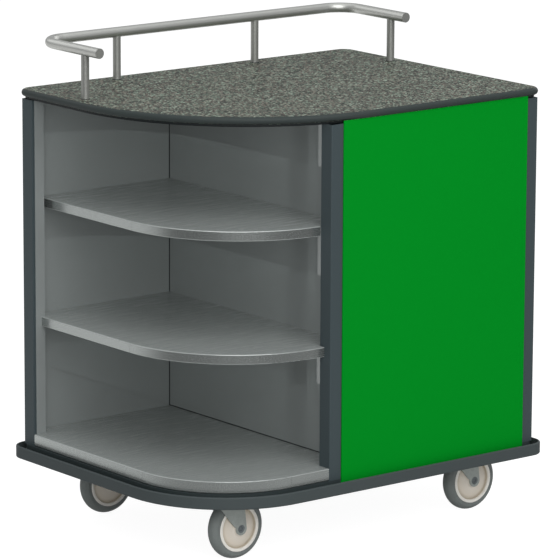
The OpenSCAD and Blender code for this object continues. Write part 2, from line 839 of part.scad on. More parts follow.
// One side of the hub's section, from its bore to its seat: x away from the axle, y along it
function hub_side() = concat(
    [
        [axle_r + running_fit, boss_half],
        [boss_r - 1.5, boss_half],
        [boss_r, boss_half - 1.5],
        [boss_r + 1, web_boss_t / 2 + 2]
    ],
    [for (k = [0:6]) let (r = web_start + (rim_in - 1.5 - web_start) * k / 6) [r, web_half(r)]],
    [
        [rim_in, hub_rim_w / 2 - 1],
        [rim_in + 1, hub_rim_w / 2],
        [seat_r - 1, hub_rim_w / 2],
        [seat_r, hub_rim_w / 2 - 1]
    ]
);

// Wheel hub: boss, web and rim, the same on both sides
module hub(i) {
    near = hub_side();
    far = [for (k = [len(near) - 1:-1:0]) [near[k][0], -near[k][1]]];
    color(cream) at_caster(i) translate([trail, 0, wheel_r]) rotate([90, 0, 0])
        rotate_extrude() polygon(concat(near, far));
}

// Tyre with flat sides and a round tread, seated on the hub
module tyre(i) {
    seat = seat_r + press_gap;
    color("#6c706e") at_caster(i) translate([trail, 0, wheel_r]) rotate([90, 0, 0]) rotate_extrude()
        intersection() {
            translate([seat, -tyre_w / 2]) square([wheel_r - seat, tyre_w]);
            translate([wheel_r - tread_r, 0]) circle(tread_r);
        }
}

countertop();
countertop_edge();
top_frame();
rail_tube();
rail_end_plugs();
rail_post_left();
rail_post_back_left();
rail_post_back_right();
rail_post_right();
rail_post_screws();
post_back_left();
post_front_middle();
post_front_right();
post_back_right();
post_back_middle();
jamb_liner();
back_panel();
partition();
shelf_upper();
shelf_lower();
deck();
front_panel();
right_panel();
rear_bay_floor();
rear_bay_shelf();
base_pan();
bumper();
caster_nuts();
caster_bolts();
plate(0);  // plate_front_left
plate(1);  // plate_front_right
plate(2);  // plate_back_left
plate(3);  // plate_back_right
kingpin(0);  // kingpin_front_left
kingpin(1);  // kingpin_front_right
kingpin(2);  // kingpin_back_left
kingpin(3);  // kingpin_back_right
balls(0);  // balls_front_left
balls(1);  // balls_front_right
balls(2);  // balls_back_left
balls(3);  // balls_back_right
fork(0);  // fork_front_left
fork(1);  // fork_front_right
fork(2);  // fork_back_left
fork(3);  // fork_back_right
axle(0);  // axle_front_left
axle(1);  // axle_front_right
axle(2);  // axle_back_left
axle(3);  // axle_back_right
hub(0);  // hub_front_left
hub(1);  // hub_front_right
hub(2);  // hub_back_left
hub(3);  // hub_back_right
tyre(0);  // tyre_front_left
tyre(1);  // tyre_front_right
tyre(2);  // tyre_back_left
tyre(3);  // tyre_back_right
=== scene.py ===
# %% [markdown]
# A beverage cart for a product picture
#
# The cart is a steel cabinet on four swivel casters. Its front left corner is open, with two
# round-cornered shelves over a deck. A green panel closes the front, a speckled board lies on top
# with a tube rail round its back, and a bumper runs round the base. The solids come from the
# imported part. This file gives them their finishes, adds the small trims that are too fine for the
# solids, and sets the light and the camera of the photograph.

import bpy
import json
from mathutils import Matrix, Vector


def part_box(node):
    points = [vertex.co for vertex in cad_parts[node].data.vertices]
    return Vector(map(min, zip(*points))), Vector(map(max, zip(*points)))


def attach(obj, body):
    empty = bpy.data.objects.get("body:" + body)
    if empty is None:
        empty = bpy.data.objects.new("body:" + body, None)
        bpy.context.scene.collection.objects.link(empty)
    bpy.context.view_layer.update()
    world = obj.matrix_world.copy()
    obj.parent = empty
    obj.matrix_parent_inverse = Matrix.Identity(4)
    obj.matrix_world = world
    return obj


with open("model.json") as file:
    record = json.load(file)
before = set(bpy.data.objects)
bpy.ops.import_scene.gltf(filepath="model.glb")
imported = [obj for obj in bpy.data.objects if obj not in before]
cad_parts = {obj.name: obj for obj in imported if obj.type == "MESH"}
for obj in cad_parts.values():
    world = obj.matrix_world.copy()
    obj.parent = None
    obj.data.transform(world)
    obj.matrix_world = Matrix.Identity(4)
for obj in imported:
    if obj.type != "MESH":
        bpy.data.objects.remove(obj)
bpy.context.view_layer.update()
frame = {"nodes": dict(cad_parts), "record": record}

import json
import math

import bpy
import bmesh
from mathutils import Matrix, Vector

MM = 0.001
NODES = frame["nodes"]


# %% [markdown]
# Helpers
#
# Colours are written as sRGB hex values, the way a picture editor shows them, and turned to the
# linear values that Blender's shaders take. A material's nodes are added by one small function
# that takes the kind of node, its settings and what feeds each input. Textures read the place on
# the object in millimetres, so a texture's scale is one over the real size of what it draws.

# %% Colours and nodes
def linear(hex_colour, shade=1.0):
    """An sRGB hex colour as linear RGBA, made darker or lighter by a factor."""
    value = int(hex_colour.lstrip("#"), 16)
    channels = [(value >> shift & 255) / 255 for shift in (16, 8, 0)]
    # The curve of sRGB itself: a straight foot and then a power.
    straight = [c / 12.92 if c <= 0.04045 else ((c + 0.055) / 1.055) ** 2.4 for c in channels]
    return [c * shade for c in straight] + [1.0]


def add(tree, kind, feeds=None, stops=(), steps=False, **settings):
    """Adds a node of a kind, sets its settings, and feeds its inputs with sockets or values.
    stops: (place, hex colour) pairs of a colour ramp. steps: the ramp jumps from each to the next."""
    made = tree.nodes.new(kind)
    for name, value in settings.items():
        setattr(made, name, value)
    for name, source in (feeds or {}).items():
        if isinstance(source, bpy.types.NodeSocket):
            tree.links.new(source, made.inputs[name])
        else:
            made.inputs[name].default_value = source
    if stops:
        made.color_ramp.interpolation = "CONSTANT" if steps else "LINEAR"
        elements = made.color_ramp.elements
        while len(elements) < len(stops):
            elements.new(0.5)
        for element, (place, colour) in zip(elements, stops):
            element.position = place
            element.color = linear(colour)
    return made


def empty_tree(owner):
    """The node tree of a new material or world, switched on and emptied."""
    owner.use_nodes = True
    owner.node_tree.nodes.clear()
    return owner.node_tree


def finished(made, feeds):
    """Ends a material with one Principled shader that takes these sockets and values."""
    tree = made.node_tree
    shader = add(tree, "ShaderNodeBsdfPrincipled", feeds)
    add(tree, "ShaderNodeOutputMaterial", {"Surface": shader.outputs["BSDF"]})
    print("finish:", made.name, "nodes:", len(tree.nodes))
    return made


def place_mm(tree, stretch=(1, 1, 1)):
    """Object coordinates in millimetres, divided by a stretch along each axis."""
    coordinates = add(tree, "ShaderNodeTexCoord").outputs["Object"]
    scaled = add(tree, "ShaderNodeVectorMath", {
        0: coordinates, 1: [1 / MM / s for s in stretch]}, operation="MULTIPLY")
    return scaled.outputs["Vector"]


def mottled(tree, colour, shades, where):
    """A colour that wanders between two shades of itself, as a texture goes from 0 to 1."""
    made = add(tree, "ShaderNodeMix", {
        "Factor": where, "A": linear(colour, shades[0]), "B": linear(colour, shades[1])},
        data_type="RGBA")
    return made.outputs["Result"]


def facing(tree, axis):
    """How far the face looks along an axis, from -1 to 1."""
    normal = add(tree, "ShaderNodeNewGeometry").outputs["True Normal"]
    return add(tree, "ShaderNodeSeparateXYZ", {"Vector": normal}).outputs[axis]


print("white as linear:", linear("#ffffff"), "mid grey:", round(linear("#808080")[0], 3))


# %% [markdown]
# Speckled board
#
# The top is high-pressure laminate with a granite print: small grains, dark, mid and light, under
# a satin melamine face. A photograph of stone would need an image. A Voronoi texture gives each
# grain its own flat colour instead, and a finer one on top breaks the grains' edges.

# %% Granite laminate
GRAIN_MM = 4.0
FINE_GRAIN_MM = 3.2
FINE_SHARE = 0.2
GRAIN_COLOURS = [
    (0.0, "#080a08"), (0.26, "#282b25"), (0.42, "#594f46"), (0.56, "#4c5f51"), (0.72, "#837f73"),
    (0.87, "#94a494")]
FINE_COLOURS = [(0.0, "#0a0d0b"), (0.34, "#454840"), (0.6, "#6d6a5e"), (0.85, "#9cab9c")]
PLASTIC_IOR = 1.5


def granite_laminate(name):
    made = bpy.data.materials.new(name)
    tree = empty_tree(made)
    where = place_mm(tree)
    layers = []
    for grain_mm, colours in ((GRAIN_MM, GRAIN_COLOURS), (FINE_GRAIN_MM, FINE_COLOURS)):
        grains = add(tree, "ShaderNodeTexVoronoi", {"Vector": where, "Scale": 1 / grain_mm})
        pick = add(tree, "ShaderNodeSeparateColor", {"Color": grains.outputs["Color"]})
        layers.append(add(
            tree, "ShaderNodeValToRGB", {"Fac": pick.outputs["Red"]}, colours, steps=True))
    mixed = add(tree, "ShaderNodeMix", {
        "Factor": FINE_SHARE, "A": layers[0].outputs["Color"], "B": layers[1].outputs["Color"]},
        data_type="RGBA")
    return finished(made, {
        "Base Color": mixed.outputs["Result"], "Roughness": 0.45, "IOR": PLASTIC_IOR,
        "Specular IOR Level": 0.15})


FINISHES = {"speckled_laminate": granite_laminate("granite_laminate")}


# %% [markdown]
# Moulded vinyl
#
# The board's edge and the bumper are extruded vinyl, charcoal through and through. The face has a
# faint leathery grain from the die, which spreads highlights, so it is rougher than laminate. The
# grain is a few hundredths of a millimetre deep. Cut into the mesh it would take millions of
# faces, so a bump draws it. The rings round the rail's posts, and the beads of painted shade in
# the bays' corners, are made the same way.

# %% Vinyl
LEATHER_MM = 1.2
LEATHER_DEEP_MM = 0.05


def vinyl(name, colour, roughness):
    made = bpy.data.materials.new(name)
    tree = empty_tree(made)
    leather = add(tree, "ShaderNodeTexNoise", {
        "Vector": place_mm(tree), "Scale": 1 / LEATHER_MM, "Detail": 3.0, "Roughness": 0.6})
    relief = add(tree, "ShaderNodeBump", {
        "Height": leather.outputs["Fac"], "Distance": LEATHER_DEEP_MM * MM, "Strength": 0.5})
    return finished(made, {
        "Base Color": linear(colour), "Roughness": roughness, "IOR": PLASTIC_IOR,
        "Specular IOR Level": 0.2, "Normal": relief.outputs["Normal"]})


FINISHES["edge_vinyl"] = vinyl("edge_vinyl", "#343b3a", 0.55)
FINISHES["bumper_vinyl"] = vinyl("bumper_vinyl", "#434a4b", 0.6)
# Dark vinyl for the rings round the rail's posts, and for the beads that are painted shade in the bays'
# corners.
SEAL_AND_CORNER_SHADE = vinyl("seal_and_corner_shade", "#23292a", 0.6)


# %% [markdown]
# Powder coat
#
# Posts, frame and base are steel with a baked powder coat. The powder melts into a skin with a
# faint orange peel, a few millimetres from crest to crest, that shows as broken highlights. The
# frame's coat is nearly black, a painted shade for the shadow gap under the board's edge. Under
# the board the frame is closed by a ceiling sheet, which is left bare. Both are one solid, and
# its faces could be sorted by hand. The finish tells the sheet's underside by where it looks
# instead, which is straight down. The axles' ends are darkened, a painted shade for the recess
# at each end, and have much the same skin, so they share it.

# %% Coats
PEEL_MM = 2.2
PEEL_DEEP_MM = 0.06
PEEL_SHADES = (1.0, 1.12)
LOOKS_DOWN = -0.5


def powder_coat(name, colour, roughness, under=None):
    """under: the colour of faces that look down, where they are bare sheet."""
    made = bpy.data.materials.new(name)
    tree = empty_tree(made)
    peel = add(tree, "ShaderNodeTexNoise", {
        "Vector": place_mm(tree), "Scale": 1 / PEEL_MM, "Detail": 2.0})
    coat = mottled(tree, colour, PEEL_SHADES, peel.outputs["Fac"])
    if under is not None:
        down = add(tree, "ShaderNodeMath", {
            0: facing(tree, "Z"), 1: LOOKS_DOWN}, operation="LESS_THAN")
        coat = add(tree, "ShaderNodeMix", {
            "Factor": down.outputs["Value"], "A": coat, "B": linear(under)},
            data_type="RGBA").outputs["Result"]
    relief = add(tree, "ShaderNodeBump", {
        "Height": peel.outputs["Fac"], "Distance": PEEL_DEEP_MM * MM, "Strength": 0.5})
    return finished(made, {
        "Base Color": coat, "Roughness": roughness, "IOR": PLASTIC_IOR,
        "Specular IOR Level": 0.2, "Normal": relief.outputs["Normal"]})


FINISHES["dark_powder_coat"] = powder_coat("dark_powder_coat", "#3d474a", 0.5)
FINISHES["base_powder_coat"] = powder_coat("base_powder_coat", "#323a3b", 0.5)
# Nearly black: painted shade for the shadow gap under the board's edge. Faces that look down keep the
# bare sheet's grey.
FRAME_PAINTED_SHADE = powder_coat("top_frame_painted_shade", "#1b2021", 0.5, under="#a4a9a7")
# Darkened: painted shade for the recess at each axle's end.
AXLE_PAINTED_SHADE = powder_coat("axle_end_painted_shade", "#6e7476", 0.4)


# %% [markdown]
# Brushed stainless
#
# Walls, shelves and deck are stainless sheet with a fine grain rolled along one direction. The
# grain is under a tenth of a millimetre wide. It is drawn about a millimetre wide, so that it
# shows, as noise stretched along the sheet. It varies the roughness by three per cent and lifts
# the surface a little, while the colour only drifts in broad clouds. A tray's flats look dull and
# grey, while its folded lips gleam like bare metal, because folding and handling polish them. Two
# materials would need the faces sorted by hand, so one material reads the surface's own normal
# instead and turns more metallic where it is upright.

# %% Brushed steel
X, Y, Z = 0, 1, 2
SCRATCH_STRETCH = 120
SCRATCH_DEEP_MM = 0.002
CLOUD_MM = 180
CLOUD_SHADES = (0.94, 1.06)
ROUGHER = (0.97, 1.03)
UPRIGHT_UP_TO = 0.02
FLAT_FROM = 0.2


def brushed_steel(name, colour, roughness, metallic, grain_mm, brushed_along, lip_metallic=None):
    """grain_mm: width of a scratch. brushed_along: the axis that the brush moved along.
    lip_metallic: how metallic the upright lips look, where they differ from the flats."""
    made = bpy.data.materials.new(name)
    tree = empty_tree(made)
    if lip_metallic is not None:
        level = add(tree, "ShaderNodeMath", {0: facing(tree, "Z")}, operation="ABSOLUTE")
        metallic = add(tree, "ShaderNodeMapRange", {
            "Value": level.outputs["Value"], "From Min": UPRIGHT_UP_TO, "From Max": FLAT_FROM,
            "To Min": lip_metallic, "To Max": metallic}).outputs["Result"]
    stretch = [grain_mm] * 3
    stretch[brushed_along] = grain_mm * SCRATCH_STRETCH
    scratches = add(tree, "ShaderNodeTexNoise", {
        "Vector": place_mm(tree, stretch), "Scale": 1.0, "Detail": 4.0, "Roughness": 0.65})
    rough = add(tree, "ShaderNodeMapRange", {
        "Value": scratches.outputs["Fac"], "From Min": 0.3, "From Max": 0.7,
        "To Min": roughness * ROUGHER[0], "To Max": roughness * ROUGHER[1]})
    cloud = add(tree, "ShaderNodeTexNoise", {
        "Vector": place_mm(tree), "Scale": 1 / CLOUD_MM, "Detail": 2.0})
    relief = add(tree, "ShaderNodeBump", {
        "Height": scratches.outputs["Fac"], "Distance": SCRATCH_DEEP_MM * MM, "Strength": 0.035})
    return finished(made, {
        "Base Color": mottled(tree, colour, CLOUD_SHADES, cloud.outputs["Fac"]),
        "Metallic": metallic, "Roughness": rough.outputs["Result"],
        "Normal": relief.outputs["Normal"]})


FINISHES["satin_tube"] = brushed_steel("satin_tube", "#bfc0bc", 0.38, 0.85, 0.8, X)
FINISHES["stainless_sheet"] = brushed_steel(
    "stainless_sheet", "#a6aba9", 0.27, 0.3, 0.9, X, lip_metallic=0.85)
FINISHES["bearing_steel"] = brushed_steel("bearing_steel", "#c4c4c2", 0.12, 1.0, 0.5, Z)
WALL_FINISH = brushed_steel("stainless_wall", "#9da2a1", 0.03, 0.3, 0.9, Z)
POST_FINISH = brushed_steel("satin_post", "#9fa09c", 0.45, 0.75, 0.8, Z)


# %% [markdown]
# Green enamel
#
# The panels are sheet steel with a flat, even green enamel. It has hardly any texture: only a very
# low ripple of the sprayed film, about a centimetre from crest to crest. A colour alone would look
# like cut paper, so a bump draws the ripple and lets the light roll a little over the sheet.

# %% Enamel
RIPPLE_MM = 9
RIPPLE_DEEP_MM = 0.02


def enamel(name, colour, roughness):
    made = bpy.data.materials.new(name)
    tree = empty_tree(made)
    ripple = add(tree, "ShaderNodeTexNoise", {
        "Vector": place_mm(tree), "Scale": 1 / RIPPLE_MM, "Detail": 1.0})
    relief = add(tree, "ShaderNodeBump", {
        "Height": ripple.outputs["Fac"], "Distance": RIPPLE_DEEP_MM * MM, "Strength": 0.3})
    return finished(made, {
        "Base Color": linear(colour), "Roughness": roughness, "IOR": PLASTIC_IOR,
        "Specular IOR Level": 0.03, "Normal": relief.outputs["Normal"]})


FINISHES["green_enamel"] = enamel("green_enamel", "#008720", 0.8)


# %% [markdown]
# Zinc plate
#
# The forks and plates of the casters are pressed steel with a dull zinc plate, whose crystals give
# a faint mottling. Noise would blur them into clouds. A Voronoi texture keeps them as cells, each
# a little darker or rougher than the next. Real crystals on plate are finer than the four
# millimetres drawn here, which is about the least that still shows.

# %% Zinc
CRYSTAL_MM = 4
CRYSTAL_SHADES = (0.95, 1.05)
CRYSTAL_ROUGHER = (0.85, 1.15)


def zinc_plate(name, colour, roughness):
    made = bpy.data.materials.new(name)
    tree = empty_tree(made)
    crystals = add(tree, "ShaderNodeTexVoronoi", {
        "Vector": place_mm(tree), "Scale": 1 / CRYSTAL_MM})
    pick = add(tree, "ShaderNodeSeparateColor", {"Color": crystals.outputs["Color"]})
    rough = add(tree, "ShaderNodeMapRange", {
        "Value": pick.outputs["Red"], "To Min": roughness * CRYSTAL_ROUGHER[0],
        "To Max": roughness * CRYSTAL_ROUGHER[1]})
    return finished(made, {
        "Base Color": mottled(tree, colour, CRYSTAL_SHADES, pick.outputs["Green"]),
        "Metallic": 0.55, "Roughness": rough.outputs["Result"]})


FINISHES["zinc_plate"] = zinc_plate("zinc_plate", "#a4aaa6", 0.42)


# %% [markdown]
# Hubs
#
# The hubs are moulded polymer, cream and slightly glossy. Their colour carries painted shade,
# darker towards the corner of the dish next to the raised rim, and a painted highlight on the rim
# itself. Painting that by hand would have to be done four times. A ramp over the distance from
# the hub's middle draws it on any hub, so each hub gets a finish of its own that starts at its
# own middle.

# %% Polymer
HUB_REACH_MM = 55
# The dark stop paints shade in the dish's corner next to the rim. The last, bright stop paints a
# highlight on the rim.
DISH_SHADE_TO_RIM_HIGHLIGHT = [(0.3, "#f0e8dc"), (0.7, "#e4dacb"), (0.835, "#c2b7a4"), (0.87, "#f8f4ec")]
FLOW_MM = 14
FLOW_DEEP_MM = 0.05


def moulded_polymer(name, centre, roughness):
    """centre: the middle of the hub. How far a point lies from it tells the dish from the rim."""
    made = bpy.data.materials.new(name)
    tree = empty_tree(made)
    from_centre = add(tree, "ShaderNodeVectorMath", {
        0: place_mm(tree), 1: [c / MM for c in centre]}, operation="DISTANCE")
    reach = add(tree, "ShaderNodeMath", {
        0: from_centre.outputs["Value"], 1: HUB_REACH_MM}, operation="DIVIDE")
    # Painted shade in the dish's corner and a painted highlight on the rim, set by the distance from
    # the middle.
    shade = add(tree, "ShaderNodeValToRGB", {"Fac": reach.outputs["Value"]}, DISH_SHADE_TO_RIM_HIGHLIGHT)
    flow = add(tree, "ShaderNodeTexNoise", {
        "Vector": place_mm(tree), "Scale": 1 / FLOW_MM, "Detail": 2.0})
    relief = add(tree, "ShaderNodeBump", {
        "Height": flow.outputs["Fac"], "Distance": FLOW_DEEP_MM * MM, "Strength": 0.3})
    return finished(made, {
        "Base Color": shade.outputs["Color"], "Roughness": roughness, "IOR": PLASTIC_IOR,
        "Normal": relief.outputs["Normal"]})


HUB_FINISHES = {}
for hub in [name for name in NODES if name.startswith("hub_")]:
    hub_low, hub_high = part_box(hub)
    HUB_FINISHES[hub] = moulded_polymer("polymer_shade_and_highlight_" + hub, (hub_low + hub_high) / 2, 0.38)


# %% [markdown]
# Treads
#
# The treads are grey thermoplastic rubber, matt, and a little dusty where they roll. A second
# material for the dust would need a mask. Fine noise that lightens the grey in places and lifts
# the face a little gives the same dry look all round, whichever way the wheel is turned.

# %% Rubber
DUST_MM = 6
DUST_SHADES = (0.9, 1.1)
DUST_DEEP_MM = 0.08


def tread_rubber(name, colour):
    made = bpy.data.materials.new(name)
    tree = empty_tree(made)
    dust = add(tree, "ShaderNodeTexNoise", {
        "Vector": place_mm(tree), "Scale": 1 / DUST_MM, "Detail": 5.0, "Roughness": 0.7})
    relief = add(tree, "ShaderNodeBump", {
        "Height": dust.outputs["Fac"], "Distance": DUST_DEEP_MM * MM, "Strength": 0.4})
    return finished(made, {
        "Base Color": mottled(tree, colour, DUST_SHADES, dust.outputs["Fac"]),
        "Roughness": 0.62, "IOR": PLASTIC_IOR, "Normal": relief.outputs["Normal"]})


FINISHES["grey_tread"] = tread_rubber("grey_tread", "#767c7a")


# %% [markdown]
# Finishes on the solids
#
# Each solid carries the name of a finish in the record, and takes the material of that name. Five
# groups of solids look a little different from the rest of their finish, so they get one of their
# own. The corner's walls are smoother, brushed upright, and half mirror the shelves. The rail's
# posts are duller than its tube. The frame under the board is nearly black, a painted shade for
# the shadow gap under the board's edge, with its bare ceiling sheet. The ends of the axles are
# darker than the forks, a painted shade for their recess, and each hub has a ramp of painted
# shade and highlight of its own. The record could name a finish for each of these, but it names
# what they are made of, and that is the same for the whole group, so the difference is made here.

# %% Assign the finishes
WALLS = ("back_panel", "partition", "jamb_liner")
RAIL_POSTS = ("rail_post_left", "rail_post_back_left", "rail_post_back_right", "rail_post_right")
SLOT_OF = {entry["node"]: entry["material_slot"] for entry in frame["record"]["subparts"]}
OWN_FINISH = {"top_frame": FRAME_PAINTED_SHADE, **HUB_FINISHES}
OWN_FINISH.update({wall: WALL_FINISH for wall in WALLS})
OWN_FINISH.update({post: POST_FINISH for post in RAIL_POSTS})
OWN_FINISH.update({name: AXLE_PAINTED_SHADE for name in NODES if name.startswith("axle_")})

for name, solid in NODES.items():
    solid.data.materials.clear()
    solid.data.materials.append(OWN_FINISH[name] if name in OWN_FINISH else FINISHES[SLOT_OF[name]])
print("slots:", len(FINISHES), "solids with a finish of their own:", len(OWN_FINISH))


# %% [markdown]
# Helpers for trims
#
# Trims are too fine for the solids: a bead of painted corner shade is under two millimetres wide.
# Each one is built as a mesh from a few points, either a prism along a straight corner or a
# profile turned about an axis, takes the finish of what it is made of, and rides on the body that
# holds it. Curves with a bevel could do the same, but a mesh from points has exact ends.

# %% Mesh helpers
WELD = 1e-7
ROUND_STEPS = 32


def prism(start, end, legs):
    """Corners and faces of a three-sided bar from start to end, with two legs off the corner."""
    section = [Vector((0, 0, 0)), Vector(legs[0]), Vector(legs[1])]
    corners = [Vector(end_point) + point for end_point in (start, end) for point in section]
    return corners, [(0, 2, 1), (3, 4, 5), (0, 1, 4, 3), (1, 2, 5, 4), (2, 0, 3, 5)]


def turned(profile, at, axis, steps=ROUND_STEPS):
    """Corners and faces of a profile of (radius, height) points turned about an axis at a point."""
    turn = Vector(axis).to_track_quat("Z", "Y").to_matrix()
    corners = []
    for radius, height in profile:
        for step in range(steps):
            angle = 2 * math.pi * step / steps
            spoke = Vector((radius * math.cos(angle), radius * math.sin(angle), height))
            corners.append(Vector(at) + turn @ spoke)
    faces = []
    for ring in range(len(profile) - 1):
        for step in range(steps):
            here = ring * steps + step
            there = ring * steps + (step + 1) % steps
            faces.append((here, there, there + steps, here + steps))
    return corners, faces


def joined(shapes):
    """Several shapes as one list of corners and one of faces."""
    corners, faces = [], []
    for more_corners, more_faces in shapes:
        faces += [tuple(corner + len(corners) for corner in face) for face in more_faces]
        corners += more_corners
    return corners, faces


def trim(name, shapes, finish, body="cabinet", smooth=False):
    """One piece of the scene from several shapes, finished and riding on a body."""
    corners, faces = joined(shapes)
    mesh = bpy.data.meshes.new(name)
    mesh.from_pydata(corners, [], faces)
    cleaner = bmesh.new()
    cleaner.from_mesh(mesh)
    bmesh.ops.remove_doubles(cleaner, verts=cleaner.verts, dist=WELD)
    bmesh.ops.recalc_face_normals(cleaner, faces=cleaner.faces)
    cleaner.to_mesh(mesh)
    cleaner.free()
    mesh.polygons.foreach_set("use_smooth", [smooth] * len(mesh.polygons))
    mesh.materials.append(finish)
    piece = bpy.data.objects.new(name, mesh)
    bpy.context.scene.collection.objects.link(piece)
    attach(piece, body)
    size_mm = [round(side / MM, 1) for side in piece.dimensions]
    print(name, "faces:", len(mesh.polygons), "size mm:", size_mm)
    return piece


# %% [markdown]
# Shaded corners
#
# The inner corners of the open bays show a dark line up the back corner and along the foot of
# the partition, the shade in the gap where the sheets meet. A groove in the sheets would weaken
# them, so the line is painted shade on a thin dark bead that sits on top.

# %% Beads of painted corner shade
BEAD = 1.6 * MM
SHEET = 1.2 * MM
TRAY = 1.5 * MM

partition_low, partition_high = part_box("partition")
wall_low, wall_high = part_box("back_panel")
corner_x = partition_high.x - SHEET
corner_y = wall_low.y
floor_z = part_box("deck")[1].z
shelf_tops = [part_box(shelf)[1].z for shelf in ("shelf_lower", "shelf_upper")]
levels = [floor_z, *shelf_tops, partition_high.z + TRAY]
front_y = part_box("post_front_middle")[1].y + 2 * SHEET

# Each bead is a dark line of painted shade in a corner where the sheets meet.
for bay, low, high in zip(("lower", "middle", "upper"), levels, levels[1:]):
    upright = prism(
        (corner_x, corner_y, low), (corner_x, corner_y, high - TRAY), [(-BEAD, 0, 0), (0, -BEAD, 0)])
    trim("corner_shade_bead_" + bay, [upright], SEAL_AND_CORNER_SHADE)
foot = prism((corner_x, front_y, floor_z), (corner_x, corner_y, floor_z), [(-BEAD, 0, 0), (0, 0, BEAD)])
trim("foot_shade_bead_side", [foot], SEAL_AND_CORNER_SHADE)


# %% [markdown]
# Rings at the rail's posts
#
# A rail post goes down into the board, and a thin rubber ring closes the gap round it, which
# keeps spills out of the core. In the picture each post ends in a fine dark line. Darkening the
# post's foot would draw that line too, but a small turned ring also catches light on its shoulder.

# %% Rings round the posts
RING_WIDE = 1.6 * MM
RING_HIGH = 0.9 * MM
SHOULDER_HIGH = RING_HIGH * 0.4
SHOULDER_IN = RING_WIDE * 0.5
board_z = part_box("countertop")[1].z

for post in RAIL_POSTS:
    low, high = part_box(post)
    radius = (high.x - low.x) / 2
    profile = [
        (radius, 0), (radius + RING_WIDE, 0), (radius + RING_WIDE, SHOULDER_HIGH),
        (radius + SHOULDER_IN, RING_HIGH), (radius, RING_HIGH)]
    middle = ((low.x + high.x) / 2, (low.y + high.y) / 2, board_z)
    trim("ring_" + post, [turned(profile, middle, (0, 0, 1))], SEAL_AND_CORNER_SHADE, smooth=True)


# %% [markdown]
# Rivets
#
# The back sheet and the closed side are held to the posts with blind rivets, whose low round heads
# show outside. The picture shows neither side. Rivets are the usual way to fix such sheets from
# outside, and a row along each edge is enough. A head is a shallow dome with a small eye. It is
# turned at each spot, and both rows of a side make one piece.

# %% Rows of rivets
RIVET_R = 3.2 * MM
RIVET_H = 1.1 * MM
EYE_R = 0.9 * MM
EYE_Z = RIVET_H * 0.8
EYE_RIM_R = EYE_R * 1.1
DOME_DEGREES = range(30, 91, 15)
RIVET_STEPS = 20
EDGE_IN = 10 * MM
FIRST_Z = 0.24
SPACING = 0.132
IN_A_ROW = 6
ROW = [FIRST_Z + SPACING * place for place in range(IN_A_ROW)]
DOME = [(0, EYE_Z), (EYE_R, EYE_Z), (EYE_RIM_R, RIVET_H)]
DOME += [
    (RIVET_R * math.sin(math.radians(angle)), RIVET_H * math.cos(math.radians(angle)))
    for angle in DOME_DEGREES]


def rivet_rows(name, spots, axis):
    heads = [turned(DOME, spot, axis, RIVET_STEPS) for spot in spots]
    return trim(name, heads, FINISHES["zinc_plate"], smooth=True)


rivet_rows("back_rivets", [
    (x, wall_high.y, z) for x in (wall_low.x + EDGE_IN, wall_high.x - EDGE_IN) for z in ROW], (0, 1, 0))
side_low, side_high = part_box("right_panel")
rivet_rows("side_rivets", [
    (side_high.x, y, z) for y in (side_low.y + EDGE_IN, side_high.y - EDGE_IN) for z in ROW], (1, 0, 0))


# %% [markdown]
# Floor
#
# The photograph is a product picture on plain white. The floor shows white to the camera, with a
# faint shadow that ties the cart to the ground, and is a pale matt floor to rays that light the
# cart. Steel would mirror an endless white floor as glare, so what a mirroring ray sees of it
# grows darker away from the cart, as in a small studio. It is darker still to the front left,
# which keeps the trays' lips from glaring, and bright again at the back, where a white card
# would stand. Cards could be modelled round the cart, but they would show in other views.

# %% Studio floor
FLOOR_SIZE = 60.0
FLOOR_PAINT = 0.55
FLOOR_SHADED = 0.22
FLOOR_GLOW = 0.95
WHITE = [1, 1, 1, 1]
# Each change of brightness: what is measured from the cart's middle and in which direction, the
# metres at which it starts and ends, and the strengths before and after.
NEAR = ("LENGTH", (0, 0, 0), 0.9, 2.6, 0.56, 0.14)
DARK_SIDE = ("DOT_PRODUCT", (-0.7, -0.7, 0), 0.6, 1.2, 1.0, 0.7)
WHITE_CARD = ("DOT_PRODUCT", (0.1, 1, 0), -0.2, 1.5, 0.0, 0.72)


def floor_change(tree, place, measure, direction, start, end, before, after):
    """A strength that goes smoothly from before to after along the floor."""
    metres = add(tree, "ShaderNodeVectorMath", {0: place, 1: direction}, operation=measure)
    return add(tree, "ShaderNodeMapRange", {
        "Value": metres.outputs["Value"], "From Min": start, "From Max": end,
        "To Min": before, "To Max": after}, interpolation_type="SMOOTHSTEP").outputs["Result"]


def floor_material(name):
    made = bpy.data.materials.new(name)
    tree = empty_tree(made)
    path = add(tree, "ShaderNodeLightPath")
    paint = add(tree, "ShaderNodeBsdfDiffuse", {"Color": [FLOOR_PAINT] * 3 + [1]})
    shaded = add(tree, "ShaderNodeBsdfDiffuse", {"Color": [FLOOR_SHADED] * 3 + [1]})
    glow = add(tree, "ShaderNodeEmission", {"Color": WHITE, "Strength": FLOOR_GLOW})
    white = add(tree, "ShaderNodeAddShader", {0: shaded.outputs["BSDF"], 1: glow.outputs["Emission"]})
    place = add(tree, "ShaderNodeTexCoord").outputs["Object"]
    near, dark_side, card = [floor_change(tree, place, *row) for row in (NEAR, DARK_SIDE, WHITE_CARD)]
    sweep = add(tree, "ShaderNodeMath", {0: near, 1: dark_side, 2: card}, operation="MULTIPLY_ADD")
    mirrored = add(tree, "ShaderNodeEmission", {"Color": WHITE, "Strength": sweep.outputs["Value"]})
    plain = add(tree, "ShaderNodeMixShader", {
        "Fac": path.outputs["Is Glossy Ray"], 1: paint.outputs["BSDF"],
        2: mirrored.outputs["Emission"]})
    mixed = add(tree, "ShaderNodeMixShader", {
        "Fac": path.outputs["Is Camera Ray"], 1: plain.outputs["Shader"],
        2: white.outputs["Shader"]})
    add(tree, "ShaderNodeOutputMaterial", {"Surface": mixed.outputs["Shader"]})
    return made


